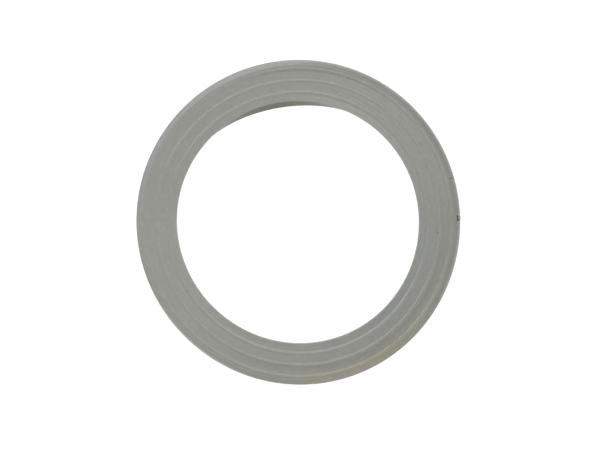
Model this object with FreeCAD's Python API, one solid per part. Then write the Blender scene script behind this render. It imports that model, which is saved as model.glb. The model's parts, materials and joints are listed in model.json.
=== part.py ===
import FreeCAD, Part
import math
import os

# Seal ring of a jug blender, moulded in one shot from soft silicone rubber.
# It lies flat in the recess of the base collar with its ribbed face up, and
# the mouth of the jug presses down on the three ribs.
# Lengths are in millimetres. The underside is at z = 0, and z is the ring's axis.

OUTER_DIAMETER = 80.0
BORE_DIAMETER = 59.8
BODY_THICKNESS = 3.8

RIB_CREST_RADII = (32.1, 35.0, 37.9)
RIB_HEIGHT = 0.2
RIB_CREST_ROUNDING = 0.35
RIB_FLANK_ANGLE = math.radians(24.0)

# The rim is bevelled down from the face. A wide rounding, which starts at the foot of
# the outermost rib, joins the bevel to the face, and a tight one joins it to the wall.
RIM_BEVEL_WIDTH = 1.15
RIM_BEVEL_DROP = 0.5
RIM_FACE_ROUNDING = 1.9
RIM_WALL_ROUNDING = 0.4

# The two bottom edges, the bore's upper edge and the feet of the ribs are sharp.
SHARP = 0.0

outer_radius = OUTER_DIAMETER / 2
bore_radius = BORE_DIAMETER / 2


# The half section is a closed loop of corners, each with its own rounding.
# A corner is (radius from the axis, height, rounding).

def rib_corners(crest_radius):
    """The three corners of one rib, from its outer foot over the crest to its inner foot."""
    shortfall = RIB_CREST_ROUNDING * (1 / math.cos(RIB_FLANK_ANGLE) - 1)
    apex_height = RIB_HEIGHT + shortfall
    half_width = apex_height / math.tan(RIB_FLANK_ANGLE)
    return [
        (crest_radius + half_width, BODY_THICKNESS, SHARP),
        (crest_radius, BODY_THICKNESS + apex_height, RIB_CREST_ROUNDING),
        (crest_radius - half_width, BODY_THICKNESS, SHARP),
    ]


def rounded_loop(corners):
    """Straight lines between the corners, joined at each rounded corner by an arc tangent to both."""
    bends = []
    for index, (radius, height, rounding) in enumerate(corners):
        here = FreeCAD.Vector(radius, 0, height)
        before = FreeCAD.Vector(corners[index - 1][0], 0, corners[index - 1][1])
        after_corner = corners[(index + 1) % len(corners)]
        after = FreeCAD.Vector(after_corner[0], 0, after_corner[1])
        back = (before - here).normalize()
        ahead = (after - here).normalize()
        half_corner = back.getAngle(ahead) / 2
        setback = rounding / math.tan(half_corner)
        middle = (back + ahead).normalize()
        centre = here + middle * (rounding / math.sin(half_corner))
        bends.append((here + back * setback, centre - middle * rounding, here + ahead * setback))
    edges = []
    for index, (start, halfway, end) in enumerate(bends):
        edges.append(Part.LineSegment(bends[index - 1][2], start).toShape())
        if corners[index][2] > SHARP:
            edges.append(Part.Arc(start, halfway, end).toShape())
    return Part.Wire(edges)


corners = [
    (bore_radius, 0.0, SHARP),
    (outer_radius, 0.0, SHARP),
    (outer_radius, BODY_THICKNESS - RIM_BEVEL_DROP, RIM_WALL_ROUNDING),
    (outer_radius - RIM_BEVEL_WIDTH, BODY_THICKNESS, RIM_FACE_ROUNDING),
]
for crest_radius in reversed(RIB_CREST_RADII):
    corners += rib_corners(crest_radius)
corners.append((bore_radius, BODY_THICKNESS, SHARP))

section = Part.Face(rounded_loop(corners))


# One full turn of the section about the axis is the whole ring.

axis_point = FreeCAD.Vector(0, 0, 0)
axis_direction = FreeCAD.Vector(0, 0, 1)
seal_ring = section.revolve(axis_point, axis_direction, 360)

os.makedirs("parts", exist_ok=True)
seal_ring.exportStep("parts/seal_ring.step")
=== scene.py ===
import json
import math

import bpy
import numpy as np
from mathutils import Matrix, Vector


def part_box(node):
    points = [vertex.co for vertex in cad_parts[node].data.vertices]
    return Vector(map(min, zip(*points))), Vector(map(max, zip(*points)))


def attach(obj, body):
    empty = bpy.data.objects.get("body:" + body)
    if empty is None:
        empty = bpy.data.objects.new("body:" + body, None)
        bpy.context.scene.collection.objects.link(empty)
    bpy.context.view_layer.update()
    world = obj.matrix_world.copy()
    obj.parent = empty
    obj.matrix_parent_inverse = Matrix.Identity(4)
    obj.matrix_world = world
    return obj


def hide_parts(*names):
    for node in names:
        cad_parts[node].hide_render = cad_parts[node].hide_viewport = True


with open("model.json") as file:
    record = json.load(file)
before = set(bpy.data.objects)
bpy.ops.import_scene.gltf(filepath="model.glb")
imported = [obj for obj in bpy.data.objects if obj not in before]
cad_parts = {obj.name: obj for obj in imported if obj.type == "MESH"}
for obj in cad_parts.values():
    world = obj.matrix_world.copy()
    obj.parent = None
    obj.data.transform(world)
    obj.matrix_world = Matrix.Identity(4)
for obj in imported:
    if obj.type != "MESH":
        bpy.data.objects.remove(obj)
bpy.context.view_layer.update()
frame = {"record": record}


# Seal ring, its section.
# The ring is one compression moulding of grey silicone rubber, so its whole form is one closed section:
# a plain underside, a straight bore, a bevelled rim and three round ribs that the jug's mouth squeezes.

MM = 0.001

ring_low, ring_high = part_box("seal_ring")
outer_radius = (ring_high.x - ring_low.x) / 2
bore_radius = next(m for m in frame["record"]["mounts"] if m["name"] == "bore")["dims"]["r_mm"] * MM
rib_height = 0.2 * MM
land_height = ring_high.z - rib_height

rib_crest_radii = (32.1 * MM, 35.0 * MM, 37.9 * MM)
rib_flank_slope = math.radians(24)
rib_crest_rounding = 0.35 * MM
rib_foot_rounding = 0.3 * MM

rim_bevel_width = 1.15 * MM
rim_bevel_drop = 0.5 * MM
rim_wall_rounding = 0.4 * MM
rim_bevel_rounding = 1.5 * MM
bore_edge_rounding = 0.2 * MM
underside_rounding = 0.2 * MM

# A point stands this far outside each rounding, so that its smooth shading doesn't spread over the flats.
edge_margin = 0.02 * MM


def section_points(corners):
    """The section as close points. Each corner is (radius, height, rounding, arc steps, rows), where the
    rows are points on the straight stretch after it."""
    places = [np.array(corner[:2]) for corner in corners]
    points = []
    for index, corner in enumerate(corners):
        rounding, steps, rows = corner[2:]
        here = places[index]
        back = places[index - 1] - here
        ahead = places[(index + 1) % len(places)] - here
        stretch = np.linalg.norm(ahead)
        back = back / np.linalg.norm(back)
        ahead = ahead / stretch
        half_corner = math.acos(float(np.dot(back, ahead))) / 2
        tangent = rounding / math.tan(half_corner)
        setback = tangent + edge_margin
        middle = (back + ahead) / np.linalg.norm(back + ahead)
        centre = here + middle * rounding / math.sin(half_corner)
        first = here + back * tangent - centre
        last = here + ahead * tangent - centre
        turn = math.pi - 2 * half_corner
        points.append(here + back * setback)
        for step in range(steps + 1):
            share = step / steps
            arm = (first * math.sin((1 - share) * turn) + last * math.sin(share * turn)) / math.sin(turn)
            points.append(centre + arm)
        for row in range(rows + 1):
            points.append(here + ahead * (setback + (stretch - 2 * setback) * row / (rows + 1)))
    return points


rib_apex = rib_height + rib_crest_rounding * (1 / math.cos(rib_flank_slope) - 1)
rib_half_width = rib_apex / math.tan(rib_flank_slope)

corners = [
    (bore_radius, ring_low.z, underside_rounding, 3, 0),
    (outer_radius, ring_low.z, underside_rounding, 3, 4),
    (outer_radius, land_height - rim_bevel_drop, rim_wall_rounding, 6, 8),
    (outer_radius - rim_bevel_width, land_height, rim_bevel_rounding, 6, 0),
]
for crest_radius in reversed(rib_crest_radii):
    corners += [
        (crest_radius + rib_half_width, land_height, rib_foot_rounding, 4, 0),
        (crest_radius, land_height + rib_apex, rib_crest_rounding, 6, 0),
        (crest_radius - rib_half_width, land_height, rib_foot_rounding, 4, 0),
    ]
corners.append((bore_radius, land_height, bore_edge_rounding, 4, 2))
section = section_points(corners)

# The sweep lays the curve's x outwards and its y downwards.
section_curve = bpy.data.curves.new("seal_section", "CURVE")
section_curve.dimensions = "3D"
section_line = section_curve.splines.new("POLY")
section_line.points.add(len(section) - 1)
for point, (radius, height) in zip(section_line.points, reversed(section)):
    point.co = (radius - outer_radius, -height, 0, 1)
section_line.use_cyclic_u = True
section_object = bpy.data.objects.new("seal_section", section_curve)
bpy.context.scene.collection.objects.link(section_object)


# Seal ring, swept round its axis.
# The section runs once round a circle. The real ring is soft and lies a little out of round, and on its far
# side the bore's lower edge leans into the hole, as a dark sliver of wall. Its ribs are worn at the left.

# East is along X and north along Y, and azimuths turn from east towards north.
sweep_sizes = {
    "Path radius": outer_radius,
    "Bore radius": bore_radius,
    "Land height": land_height,
    # The steps stand closest together at the tear, where the detail is finest.
    "Steps round": 800,
    "Crowding": 0.85,
    "Crowding azimuth": math.radians(2),
    # The bore's lower edge leans in, most at the underside.
    "Lean reach": 1.33 * MM,
    "Lean azimuth": math.radians(100.7),
    "Lean half angle": math.radians(35),
    "Lean ease": 1.3,
    "Lean depth": 3.0 * MM,
    # The whole ring is out of round, by a wave of two crests and one of three.
    "Oval reach": 0.11 * MM,
    "Oval azimuth": math.radians(118),
    "Lobe reach": 0.09 * MM,
    "Lobe azimuth": math.radians(50),
    # The bore is off centre and oval by itself.
    "Bore drift reach": 0.11 * MM,
    "Bore drift azimuth": math.radians(161),
    "Bore oval reach": 0.08 * MM,
    "Bore oval azimuth": math.radians(-20),
    "Bore fade": 1.5 * MM,
    # The face between bore and rim is stretched outwards, off centre and wavy by itself.
    "Face stretch": 0.06 * MM,
    "Face drift reach": 0.12 * MM,
    "Face drift azimuth": math.radians(250),
    "Face lobe reach": 0.09 * MM,
    "Face lobe azimuth": math.radians(52),
    "Face fade": 2.5 * MM,
    # The outer ribs are squeezed inwards at the bottom of the picture.
    "Squeeze reach": 0.17 * MM,
    "Squeeze azimuth": math.radians(281),
    "Squeeze half angle": math.radians(32),
    "Squeeze radius": 32 * MM,
    "Squeeze fade": 5.0 * MM,
    # The outermost rib is worn down at the upper left, and all three are pressed flatter at the left.
    "Wear share": 0.8,
    "Wear azimuth": math.radians(150),
    "Wear half angle": math.radians(62),
    "Wear radius": 36.4 * MM,
    "Pressed share": 0.6,
    "Pressed azimuth": math.radians(173),
    "Pressed half angle": math.radians(24),
    # Above 1, this keeps the middle of a worn stretch level.
    "Wear gain": 1.5,
}


class Wire:
    """One output of a node. Sums, products and powers of wires add the Math nodes that work them out."""

    def __init__(self, tree, socket):
        self.tree = tree
        self.socket = socket

    def node(self, kind, settings, sockets, output=0):
        """Adds a node: its settings first, then a number or a wire for each socket; gives one output."""
        node = self.tree.nodes.new(kind)
        for name, value in settings.items():
            setattr(node, name, value)
        for key, value in sockets.items():
            if isinstance(value, Wire):
                self.tree.links.new(value.socket, node.inputs[key])
            else:
                node.inputs[key].default_value = value
        return Wire(self.tree, node.outputs[output])

    def output(self, key):
        """Another output of the same node."""
        return Wire(self.tree, self.socket.node.outputs[key])

    def maths(self, operation, *others):
        sockets = dict(enumerate((self, *others)))
        return self.node("ShaderNodeMath", {"operation": operation}, sockets)

    def __add__(self, other):
        return self.maths("ADD", other)

    def __mul__(self, other):
        return self.maths("MULTIPLY", other)

    def __sub__(self, other):
        return self.maths("SUBTRACT", other)

    def __rsub__(self, other):
        return self.node("ShaderNodeMath", {"operation": "SUBTRACT"}, {0: other, 1: self})

    def __truediv__(self, other):
        return self.maths("DIVIDE", other)

    def __pow__(self, other):
        return self.maths("POWER", other)

    __radd__ = __add__
    __rmul__ = __mul__

    def clamped(self):
        return self.maths("MAXIMUM", 0).maths("MINIMUM", 1)

    def rising(self, start, span):
        """A share that rises from 0 at start to 1 a span further on."""
        return ((self - start) / span).clamped()

    def falling(self, end, span):
        """A share that falls to 0 at end, from 1 a span before it."""
        return ((end - self) / span).clamped()

    def tinted(self, share, tint):
        """This colour multiplied by a tint of red, green and blue, in part."""
        settings = {"data_type": "RGBA", "blend_type": "MULTIPLY"}
        return self.node("ShaderNodeMix", settings, {0: share, 6: self, 7: (*tint, 1)}, 2)


def length(east, north):
    """The length of a run so far east and so far north."""
    return (east * east + north * north).maths("SQRT")


def largest(wires):
    """The largest of several wires."""
    most, *others = wires
    for other in others:
        most = most.maths("MAXIMUM", other)
    return most


sweep_tree = bpy.data.node_groups.new("seal_sweep", "GeometryNodeTree")
sweep_kinds = dict.fromkeys(sweep_sizes, "NodeSocketFloat")
sweep_kinds["Steps round"] = "NodeSocketInt"
sweep_kinds["Section"] = "NodeSocketObject"
sweep_kinds["Silicone"] = "NodeSocketMaterial"
sweep_sockets = {
    name: sweep_tree.interface.new_socket(name, in_out="INPUT", socket_type=kind).identifier
    for name, kind in sweep_kinds.items()
}
sweep_tree.interface.new_socket("Ring", in_out="OUTPUT", socket_type="NodeSocketGeometry")

given = Wire(sweep_tree, sweep_tree.nodes.new("NodeGroupInput").outputs[0])
size = given.output
path = given.node(
    "GeometryNodeCurvePrimitiveCircle",
    {"mode": "RADIUS"},
    {"Resolution": size("Steps round"), "Radius": size("Path radius")},
)
section_shape = given.node("GeometryNodeObjectInfo", {}, {"Object": size("Section")}, "Geometry")
swept = given.node("GeometryNodeCurveToMesh", {}, {"Curve": path, "Profile Curve": section_shape})

place = given.node("GeometryNodeInputPosition", {}, {})
east = given.node("ShaderNodeSeparateXYZ", {}, {0: place})
north = east.output("Y")
height = east.output("Z")
radius = length(east, north)
azimuth = north.maths("ARCTAN2", east)
azimuth = azimuth - size("Crowding") * (azimuth - size("Crowding azimuth")).maths("SINE")


def wave(form, crests):
    """How far a form reaches outwards: a wave with that many crests round the ring, one at its azimuth."""
    off = azimuth - size(form + " azimuth")
    return size(form + " reach") * (crests * off).maths("COSINE")


def hump(form):
    """A share of 1 at a form's azimuth, which falls through 0 at its half angle either side."""
    off = azimuth - size(form + " azimuth")
    off = off.maths("SINE").maths("ARCTAN2", off.maths("COSINE")) / size(form + " half angle")
    return 1 - off * off


lean = size("Lean reach") * hump("Lean").clamped() ** size("Lean ease")
lean = lean * (1 - height / size("Land height")).clamped()
lean = lean * (1 - radius.rising(size("Bore radius"), size("Lean depth")))

ring_move = wave("Oval", 2) + wave("Lobe", 3)
bore_move = wave("Bore drift", 1) + wave("Bore oval", 2)
bore_move = bore_move * (1 - radius.rising(size("Bore radius"), size("Bore fade")))

squeeze = size("Squeeze reach") * hump("Squeeze").clamped()
squeeze = squeeze * radius.rising(size("Squeeze radius"), size("Squeeze fade"))
face_move = size("Face stretch") + wave("Face drift", 1) + wave("Face lobe", 3) - squeeze
face_move = face_move * radius.rising(size("Bore radius"), size("Face fade"))
face_move = face_move * radius.falling(size("Path radius"), size("Face fade"))
radius_shaped = radius - lean + ring_move + bore_move + face_move

worn = size("Wear share") * (size("Wear gain") * hump("Wear")).clamped()
worn = worn * radius.maths("GREATER_THAN", size("Wear radius"))
pressed = size("Pressed share") * (size("Wear gain") * hump("Pressed")).clamped()
rib_rise = (height - size("Land height")).maths("MAXIMUM", 0)
height_shaped = height - rib_rise * largest([worn, pressed])

shaped_east = radius_shaped * azimuth.maths("COSINE")
shaped_north = radius_shaped * azimuth.maths("SINE")
new_place = given.node(
    "ShaderNodeCombineXYZ", {}, {"X": shaped_east, "Y": shaped_north, "Z": height_shaped}
)
turned = given.node(
    "GeometryNodeStoreNamedAttribute",
    {"data_type": "FLOAT", "domain": "POINT"},
    {"Geometry": swept, "Name": "mould_radius", "Value": radius},
)
shaped = given.node("GeometryNodeSetPosition", {}, {"Geometry": turned, "Position": new_place})


# Seal ring, its cuts.
# The rim has been caught once: a small hooked tear with its flap pushed out, and near it a scratch across
# the bevel and a chip at the edge. Each cut is darkened with dirt and painted shade, so its share is kept
# for the colour.

# Each cut is a groove: its two ends, east and north of the axis, and its half width and depth. The lengths
# of this section are in millimetres.
cuts = (
    ((38.85, 1.45), (40.2, 1.5), 0.12, 0.22),
    ((39.3, 1.41), (39.25, 0.5), 0.15, 0.3),
    ((39.3, 0.68), (39.7, 0.35), 0.24, 0.4),
    ((37.25, 10.83), (38.05, 10.8), 0.14, 0.1),
    ((39.0, -10.3), (38.85, -10.7), 0.3, 0.35),
)
cut_floor = 2.4
cut_fade = 0.4
cut_inward_share = 0.6
flap_east = 39.75
flap_north = 1.0
flap_radius = 0.65
flap_reach = 0.14

cut_east = east / MM
cut_north = north / MM
cut_height = height / MM


def groove(start, end, half_width):
    """The share of a groove: 1 along the line from start to end, and rounded off to 0 at its sides."""
    run_east = end[0] - start[0]
    run_north = end[1] - start[1]
    run_square = run_east * run_east + run_north * run_north
    from_east = cut_east - start[0]
    from_north = cut_north - start[1]
    along = ((from_east * run_east + from_north * run_north) / run_square).clamped()
    distance = length(from_east - along * run_east, from_north - along * run_north)
    share = distance.falling(half_width, half_width)
    return share * (2 - share)


upper_share = cut_height.rising(cut_floor, cut_fade)
cut_shares = []
cut_drops = []
for start, end, half_width, depth in cuts:
    share = upper_share * groove(start, end, half_width)
    cut_shares.append(share)
    cut_drops.append(share * depth)
cut_drop = largest(cut_drops)

flap_distance = length(cut_east - flap_east, cut_north - flap_north)
flap_move = flap_distance.falling(flap_radius, flap_radius) * upper_share * flap_reach
outward = (flap_move - cut_inward_share * cut_drop) * MM
cut_move = given.node(
    "ShaderNodeCombineXYZ",
    {},
    {"X": outward * east / radius, "Y": outward * north / radius, "Z": -MM * cut_drop},
)
marked = given.node(
    "GeometryNodeStoreNamedAttribute",
    {"data_type": "FLOAT", "domain": "POINT"},
    {"Geometry": shaped, "Name": "cut", "Value": largest(cut_shares)},
)
cut_ring = given.node("GeometryNodeSetPosition", {}, {"Geometry": marked, "Offset": cut_move})
smooth = given.node("GeometryNodeSetShadeSmooth", {}, {"Geometry": cut_ring, "Shade Smooth": True})
whole = given.node("GeometryNodeRealizeInstances", {}, {"Geometry": smooth})
coated = given.node("GeometryNodeSetMaterial", {}, {"Geometry": whole, "Material": size("Silicone")})
result = sweep_tree.nodes.new("NodeGroupOutput")
sweep_tree.links.new(coated.socket, result.inputs[0])


# Seal ring, its silicone.
# Satin grey rubber, a little cloudy and see-through at the surface. The mould was turned on a lathe and left
# faint rings on the lands. Grease has yellowed the rim at the lower right, and a film darkens the bore wall.
# Painted shade lies on the leaning bore wall, in the cuts and across the ring, and painted light on the rim
# and ribs.

rubber_colour = (0.272, 0.276, 0.252)
rubber_roughness = 0.33

silicone = bpy.data.materials.new("seal_silicone")
silicone.use_nodes = True
silicone_tree = silicone.node_tree
silicone_tree.nodes.clear()
spot = Wire(silicone_tree, silicone_tree.nodes.new("ShaderNodeTexCoord").outputs["Object"])
spot_parts = spot.node("ShaderNodeSeparateXYZ", {}, {0: spot})
spot_east = spot_parts.output("X") / MM
spot_north = spot_parts.output("Y") / MM
spot_height = spot_parts.output("Z") / MM
spot_radius = length(spot_east, spot_north)
round_east = spot_east / spot_radius
round_north = spot_north / spot_radius
mould_radius = spot.node("ShaderNodeAttribute", {"attribute_name": "mould_radius"}, {}, "Fac") / MM
cut_dirt_and_shade = spot.node("ShaderNodeAttribute", {"attribute_name": "cut"}, {}, "Fac")


def bearing(degrees, half_angle, gain=1):
    """A share of 1 in that direction from the axis, which fades to 0 at half_angle degrees either side. A
    gain above 1 widens its middle."""
    turn = math.radians(degrees)
    limit = math.cos(math.radians(half_angle))
    facing = round_east * math.cos(turn) + round_north * math.sin(turn)
    return facing.rising(limit, (1 - limit) / gain)


def band(inner, outer, fade):
    """A share of 1 between two radii in the mould, in millimetres, which fades out over fade at both."""
    return mould_radius.rising(inner, fade) * mould_radius.falling(outer, fade)


def noise(scale, detail, vector=spot):
    """Cloud noise from 0 to 1, with that many cells to each unit of the vector."""
    return spot.node("ShaderNodeTexNoise", {}, {"Vector": vector, "Scale": scale, "Detail": detail})


# Fine grain, coarser mottling and broad clouds. The streaks are noise round a circle that is smaller than
# the ring, so that on the ring they are drawn out lengthwise.
grain = noise(4200, 2) - 0.5
mottle = noise(900, 3) - 0.5
cloud = noise(90, 3) - 0.5
streak_circle = 9
streak_sockets = {"X": mould_radius, "Y": streak_circle * round_east, "Z": streak_circle * round_north}
streak_place = spot.node("ShaderNodeCombineXYZ", {}, streak_sockets)
streaks = noise(2.6, 2, streak_place) - 0.5

# The lathe's rings differ with the radius alone, wander a little, and show best in two directions.
turning_wander = 0.03
turning_least = 0.35
turning_upper_right = 0.9 * bearing(52, 50)
turning_lower_left = 0.35 * bearing(235, 60)
turning_share = turning_least + turning_upper_right + turning_lower_left + 0.5 * cloud
turning_lines = spot.node(
    "ShaderNodeTexNoise",
    {"noise_dimensions": "1D"},
    {"W": mould_radius + turning_wander * noise(60, 1), "Scale": 2.6, "Detail": 4, "Roughness": 0.75},
)
turning = (turning_lines - 0.5) * turning_share

# At the upper right a faint line stands up either side of each rib, from steps in the turned mould.
step_line_offsets = (-1.06, 0.78)
step_line_half_width = 0.3
step_lines = 0
for crest_radius in rib_crest_radii:
    for offset in step_line_offsets:
        off_line = (mould_radius - crest_radius / MM - offset).maths("ABSOLUTE")
        step_lines = step_lines + off_line.falling(step_line_half_width, step_line_half_width)
step_lines = step_lines * bearing(52, 40)

# The crests of the ribs are rubbed smooth at the lower right.
rubbed_inner = 0.6
rubbed_outer = 0.4
rubbed_fade = 0.3
rubbed = 0
for crest_radius in rib_crest_radii:
    crest = crest_radius / MM
    rubbed = rubbed + band(crest - rubbed_inner, crest + rubbed_outer, rubbed_fade)
rubbed = rubbed * bearing(310, 45)

# What each pattern adds to the tone, to the relief in millimetres and to the roughness.
patterns = (
    (grain, 0.34, 0.012, 0),
    (mottle, 0.12, 0.008, 0.08),
    (streaks, 0.2, 0.01, 0),
    (cloud, 0.08, 0, 0.12),
    (turning, 0.16, 0.03, 0),
    (step_lines, 0.03, 0.045, 0),
    (rubbed, 0, 0, -0.12),
    (cut_dirt_and_shade, 0, 0, 0.3),
)
# The tone below is painted shade over the whole ring: darker towards the east, paler towards the north, and
# paler again on the north-east and south-west diagonals.
tone_middle = 1.035
painted_shade_east = -0.041
painted_shade_north = 0.019
painted_shade_across = 0.1
tone = tone_middle + painted_shade_east * round_east + painted_shade_north * round_north
tone = tone + painted_shade_across * round_east * round_north
relief = 0
roughness = rubber_roughness
for pattern, tone_share, pattern_height, roughness_share in patterns:
    tone = tone + tone_share * pattern
    relief = relief + pattern_height * pattern
    roughness = roughness + roughness_share * pattern
colour = tone.tinted(1, rubber_colour)

# Grease that has yellowed the rim, in clouds: the bearing and half angle in degrees, and the tint.
grease_band = band(36.7, 40.6, 1.3) * (0.95 + cloud)
grease_stains = (
    (289, 26, (1.085, 1, 0.9)),
    (314, 29, (1.02, 1, 0.9)),
)
for degrees, half_angle, tint in grease_stains:
    colour = colour.tinted(bearing(degrees, half_angle) * grease_band, tint)

# Painted light on the rim's upper edge, paler in three directions: the bearing and half angle in degrees,
# and the tint.
edge_radius = 39.35
edge_radius_fade = 0.35
edge_floor = 2.6
edge_floor_fade = 0.4
lit_rim_edge = mould_radius.rising(edge_radius, edge_radius_fade)
lit_rim_edge = lit_rim_edge * spot_height.rising(edge_floor, edge_floor_fade)
painted_light_edges = (
    (35, 75, (1.36, 1.36, 1.36)),
    (230, 24, (1.38, 1.38, 1.38)),
    (345, 22, (1.2, 1.2, 1.2)),
)
for degrees, half_angle, tint in painted_light_edges:
    colour = colour.tinted(bearing(degrees, half_angle) * lit_rim_edge, tint)

# Bands that are darker, paler, yellower or bluer on a part of the ring: the bearing and half angle in
# degrees, the gain, the inner and outer radius and the fade in millimetres, and the tint. The grey bands on
# the rim and the ribs are painted shade and painted highlight.
tint_and_painted_light_bands = (
    (330, 40, 1, 34, 40.6, 1.5, (1, 1, 0.975)),
    (315, 55, 1, 28, 33, 1.2, (0.975, 1, 1.02)),
    (145, 50, 1, 37.5, 40.6, 0.9, (1.012, 1, 1.055)),
    (176, 16, 1, 38.2, 40.6, 0.9, (1.01, 1, 1.04)),
    # From here on, the grey bands on and just inside the rim bevel are painted shade, darker away from the
    # lamps, and the one at 115 degrees is painted highlight.
    (0, 50, 1, 38.3, 40.6, 0.4, (0.94, 0.94, 0.93)),
    (45, 48, 1, 38.3, 40.6, 0.4, (0.83, 0.83, 0.83)),
    (72, 18, 1, 38.6, 39.8, 0.4, (0.87, 0.87, 0.87)),
    (105, 45, 1, 38.15, 38.95, 0.3, (0.93, 0.93, 0.93)),
    (115, 27, 1, 38.2, 40.6, 0.4, (1.1, 1.1, 1.1)),
    (240, 48, 1, 38.2, 40.1, 0.6, (0.94, 0.94, 0.94)),
    (318, 26, 1, 38.7, 40.9, 0.6, (0.93, 0.93, 0.93)),
    (348, 28, 1, 38.4, 40.6, 0.6, (0.9, 0.9, 0.89)),
    # These two are painted shade on the outermost rib.
    (82, 34, 1, 36.9, 38.7, 0.4, (0.9, 0.9, 0.9)),
    (353, 24, 1, 36.5, 38.8, 0.5, (0.94, 0.94, 0.94)),
    (300, 80, 1.6, 34.95, 37.1, 0.85, (0.91, 0.91, 0.905)),
    # These two are painted highlight on the crest of the innermost rib.
    (309, 38, 1, 31.55, 32.35, 0.25, (1.08, 1.08, 1.08)),
    (242, 26, 1, 31.45, 32.2, 0.25, (1.09, 1.09, 1.09)),
    (65, 38, 1, 29.5, 31.4, 0.3, (1.08, 1.08, 1.075)),
    (244, 24, 1, 29.5, 31.1, 0.3, (0.94, 0.94, 0.94)),
)
for degrees, half_angle, gain, inner, outer, fade, tint in tint_and_painted_light_bands:
    colour = colour.tinted(bearing(degrees, half_angle, gain) * band(inner, outer, fade), tint)

# A film on the bore wall, with painted shade where the wall leans in, which makes it darkest and yellowest
# there; and the dirt and painted shade in the cuts.
wall_film_and_shade_radius = bore_radius / MM + 0.15
wall_film_and_shade_radius_fade = 0.1
wall_film_and_shade_top = land_height / MM - 0.2
wall_film_and_shade_top_fade = 0.15
wall_film_and_shade_least = 0.55
wall_film_and_shade_tint = (0.28, 0.292, 0.152)
cut_dirt_and_shade_tint = (0.42, 0.42, 0.36)
wall_film_and_shade = wall_film_and_shade_least + (1 - wall_film_and_shade_least) * bearing(100, 75, 1.6)
wall_film_and_shade = wall_film_and_shade * mould_radius.falling(wall_film_and_shade_radius, wall_film_and_shade_radius_fade)
wall_film_and_shade = wall_film_and_shade * spot_height.falling(wall_film_and_shade_top, wall_film_and_shade_top_fade)
colour = colour.tinted(wall_film_and_shade, wall_film_and_shade_tint)
colour = colour.tinted(cut_dirt_and_shade, cut_dirt_and_shade_tint)

# Specks of dirt, one in each of the few cells whose random number passes the threshold. The cells are
# counted to the metre, and the radius is a share of a cell.
speck_cells = 380
speck_threshold = 0.93
speck_threshold_fade = 0.03
speck_radius = 0.03
speck_tint = (0.55, 0.52, 0.42)
specks = spot.node("ShaderNodeTexVoronoi", {}, {"Vector": spot, "Scale": speck_cells})
speck_choice = spot.node("ShaderNodeSeparateColor", {}, {0: specks.output("Color")})
speck_reach = speck_radius + speck_radius * speck_choice.output("Green")
speck_share = speck_choice.rising(speck_threshold, speck_threshold_fade)
speck_share = speck_share * specks.falling(speck_reach, speck_reach)
colour = colour.tinted(speck_share, speck_tint)

# Marks that sit at one place each: east and north of the axis and radius in millimetres, and the tint.
marks = (
    (34.24, -2.56, 0.24, (0.42, 0.41, 0.35)),
    (33.8, 15.73, 0.25, (0.86, 0.86, 0.84)),
    (34.9, 5.19, 0.35, (0.9, 0.9, 0.88)),
    (-27.7, -17.1, 0.25, (0.8, 0.79, 0.74)),
    (-36.6, -11.45, 0.2, (0.75, 0.74, 0.7)),
    (-23.2, -30.5, 0.6, (0.93, 0.93, 0.91)),
    (34.3, -19.35, 0.5, (0.88, 0.87, 0.84)),
    (15.8, -27.5, 0.3, (1.1, 1.1, 1.1)),
)
mark_raggedness = 0.3
mark_gain = 1.5
for mark_east, mark_north, mark_radius, tint in marks:
    off_mark = length(spot_east - mark_east, spot_north - mark_north)
    off_mark = off_mark + mark_raggedness * mark_radius * mottle
    colour = colour.tinted(off_mark.falling(mark_radius, mark_radius / mark_gain), tint)

bumped = spot.node("ShaderNodeBump", {}, {"Strength": 1.0, "Distance": MM, "Height": relief})
rubber = spot.node(
    "ShaderNodeBsdfPrincipled",
    {},
    {
        "Base Color": colour,
        "Roughness": roughness,
        "Normal": bumped,
        "IOR": 1.41,
        "Subsurface Weight": 0.6,
        "Subsurface Radius": (1.0, 0.97, 0.8),
        "Subsurface Scale": 0.8 * MM,
    },
)
surface = silicone_tree.nodes.new("ShaderNodeOutputMaterial")
silicone_tree.links.new(rubber.socket, surface.inputs["Surface"])


# Seal ring, made solid.
# The sweep is worked out once and kept as one closed mesh of rubber, in the place of the plain ring. The
# ring lies on its underside, ribs up, as it does in the collar's recess, and nothing on it moves.

sweep_source = bpy.data.objects.new("seal_sweep", bpy.data.meshes.new("seal_sweep"))
bpy.context.scene.collection.objects.link(sweep_source)
sweep = sweep_source.modifiers.new("Sweep", "NODES")
sweep.node_group = sweep_tree
for name, value in sweep_sizes.items():
    sweep[sweep_sockets[name]] = value
sweep[sweep_sockets["Section"]] = section_object
sweep[sweep_sockets["Silicone"]] = silicone
depsgraph = bpy.context.evaluated_depsgraph_get()
ring_mesh = bpy.data.meshes.new_from_object(sweep_source.evaluated_get(depsgraph))
ring_mesh.name = "silicone_ring"
bpy.data.objects.remove(sweep_source)
bpy.data.objects.remove(section_object)

silicone_ring = bpy.data.objects.new("silicone_ring", ring_mesh)
bpy.context.scene.collection.objects.link(silicone_ring)
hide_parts("seal_ring")
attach(silicone_ring, "root")


# Table.
# The ring lies on a wide sheet of white card. To the camera the card is white of its own, and only faintly
# takes the ring's shadow.

card_size = 6.0
card_gap = 0.02 * MM
card_colour = (0.8, 0.8, 0.8, 1)
card_own_white = 1.15
card_white_share = 0.85

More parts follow.
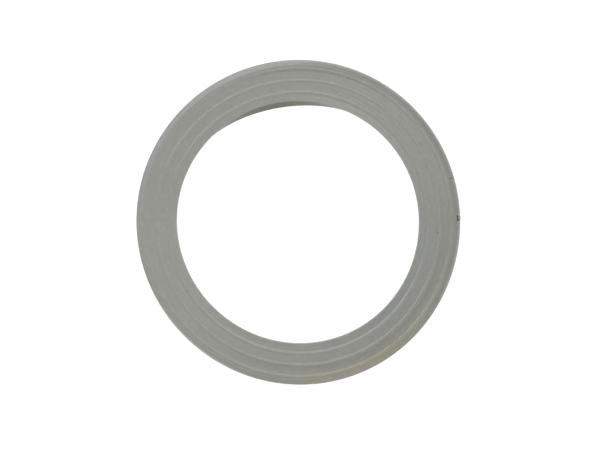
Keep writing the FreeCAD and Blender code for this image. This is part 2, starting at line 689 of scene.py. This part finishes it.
bpy.ops.mesh.primitive_plane_add(size=card_size, location=(0, 0, 0))
card = bpy.context.object
card.name = "table_card"
for vertex in card.data.vertices:
    vertex.co.z = ring_low.z - card_gap
card_paper = bpy.data.materials.new("white_card")
card_paper.use_nodes = True
card_tree = card_paper.node_tree
card_tree.nodes.clear()
rays = Wire(card_tree, card_tree.nodes.new("ShaderNodeLightPath").outputs["Is Camera Ray"])
seen = largest([rays, rays.output("Is Glossy Ray"), rays.output("Is Transmission Ray")])
lit_card = rays.node("ShaderNodeBsdfDiffuse", {}, {"Color": card_colour})
white_card = rays.node("ShaderNodeEmission", {}, {"Strength": card_own_white})
card_sockets = {0: seen * card_white_share, 1: lit_card, 2: white_card}
card_mix = rays.node("ShaderNodeMixShader", {}, card_sockets)
card_surface = card_tree.nodes.new("ShaderNodeOutputMaterial")
card_tree.links.new(card_mix.socket, card_surface.inputs["Surface"])
card.data.materials.append(card_paper)


# Light.
# A broad soft lamp stands beyond the ring, at the top of the picture, and a smaller one at its lower right,
# in a pale room.

room_strength = 0.66
lamp_distance = 0.9

# Each lamp's azimuth and elevation in degrees, its width and depth in metres, and its power in watts.
lamps = {
    "window_lamp": (115, 50, 1.2, 0.4, 4.5),
    "side_lamp": (315, 35, 1.1, 0.4, 2.2),
}

room = bpy.data.worlds.new("pale_room")
bpy.context.scene.world = room
room.use_nodes = True
room_tree = room.node_tree
room_tree.nodes.clear()
room_rays = Wire(room_tree, room_tree.nodes.new("ShaderNodeLightPath").outputs["Is Camera Ray"])
room_seen = largest([room_rays, room_rays.output("Is Transmission Ray")])
room_light = room_seen * (1 - room_strength) + room_strength
room_colour = room_rays.node("ShaderNodeBackground", {}, {"Color": (1, 1, 1, 1), "Strength": room_light})
room_surface = room_tree.nodes.new("ShaderNodeOutputWorld")
room_tree.links.new(room_colour.socket, room_surface.inputs["Surface"])


def aimed_rotation(position, target):
    """The turn that points a lamp or camera at position straight at target."""
    return (Vector(target) - Vector(position)).to_track_quat("-Z", "Y").to_euler()


def around_ring(degrees_round, degrees_up, distance):
    """A place at that azimuth, elevation and distance from the middle of the ring."""
    turn = math.radians(degrees_round)
    rise = math.radians(degrees_up)
    return (
        distance * math.cos(rise) * math.cos(turn),
        distance * math.cos(rise) * math.sin(turn),
        distance * math.sin(rise),
    )


for name, (degrees_round, degrees_up, width, depth, power) in lamps.items():
    light = bpy.data.lights.new(name, "AREA")
    light.shape = "RECTANGLE"
    light.size = width
    light.size_y = depth
    light.energy = power
    lamp = bpy.data.objects.new(name, light)
    lamp_place = around_ring(degrees_round, degrees_up, lamp_distance)
    lamp.location = lamp_place
    lamp.rotation_euler = aimed_rotation(lamp_place, (0, 0, 0))
    bpy.context.scene.collection.objects.link(lamp)


# Camera.
# It looks down on the ring from almost overhead. The ring's middle stands a little off the middle of
# the 600 x 450 picture, and its outline there is 162 pixels in radius.

picture_width = 600
picture_height = 450
ring_picture_radius = 162.0
ring_picture_centre = (298.61, 222.02)
camera_distance = 0.9
camera_azimuth = -90
camera_elevation = 89.9
sensor_width = 0.036

pixel_size = outer_radius / ring_picture_radius
aim_right = (picture_width / 2 - ring_picture_centre[0]) * pixel_size
aim_up = (ring_picture_centre[1] - picture_height / 2) * pixel_size
aim = (aim_right, aim_up, ring_high.z / 2)

camera_data = bpy.data.cameras.new("overhead_camera")
camera_data.sensor_width = sensor_width / MM
camera_data.lens = sensor_width / MM * camera_distance / (picture_width * pixel_size)
camera = bpy.data.objects.new("overhead_camera", camera_data)
stand = around_ring(camera_azimuth, camera_elevation, camera_distance)
camera.location = [a + b for a, b in zip(aim, stand)]
camera.rotation_euler = aimed_rotation(camera.location, aim)
bpy.context.scene.collection.objects.link(camera)
bpy.context.scene.camera = camera
bpy.context.scene.view_settings.view_transform = "Standard"
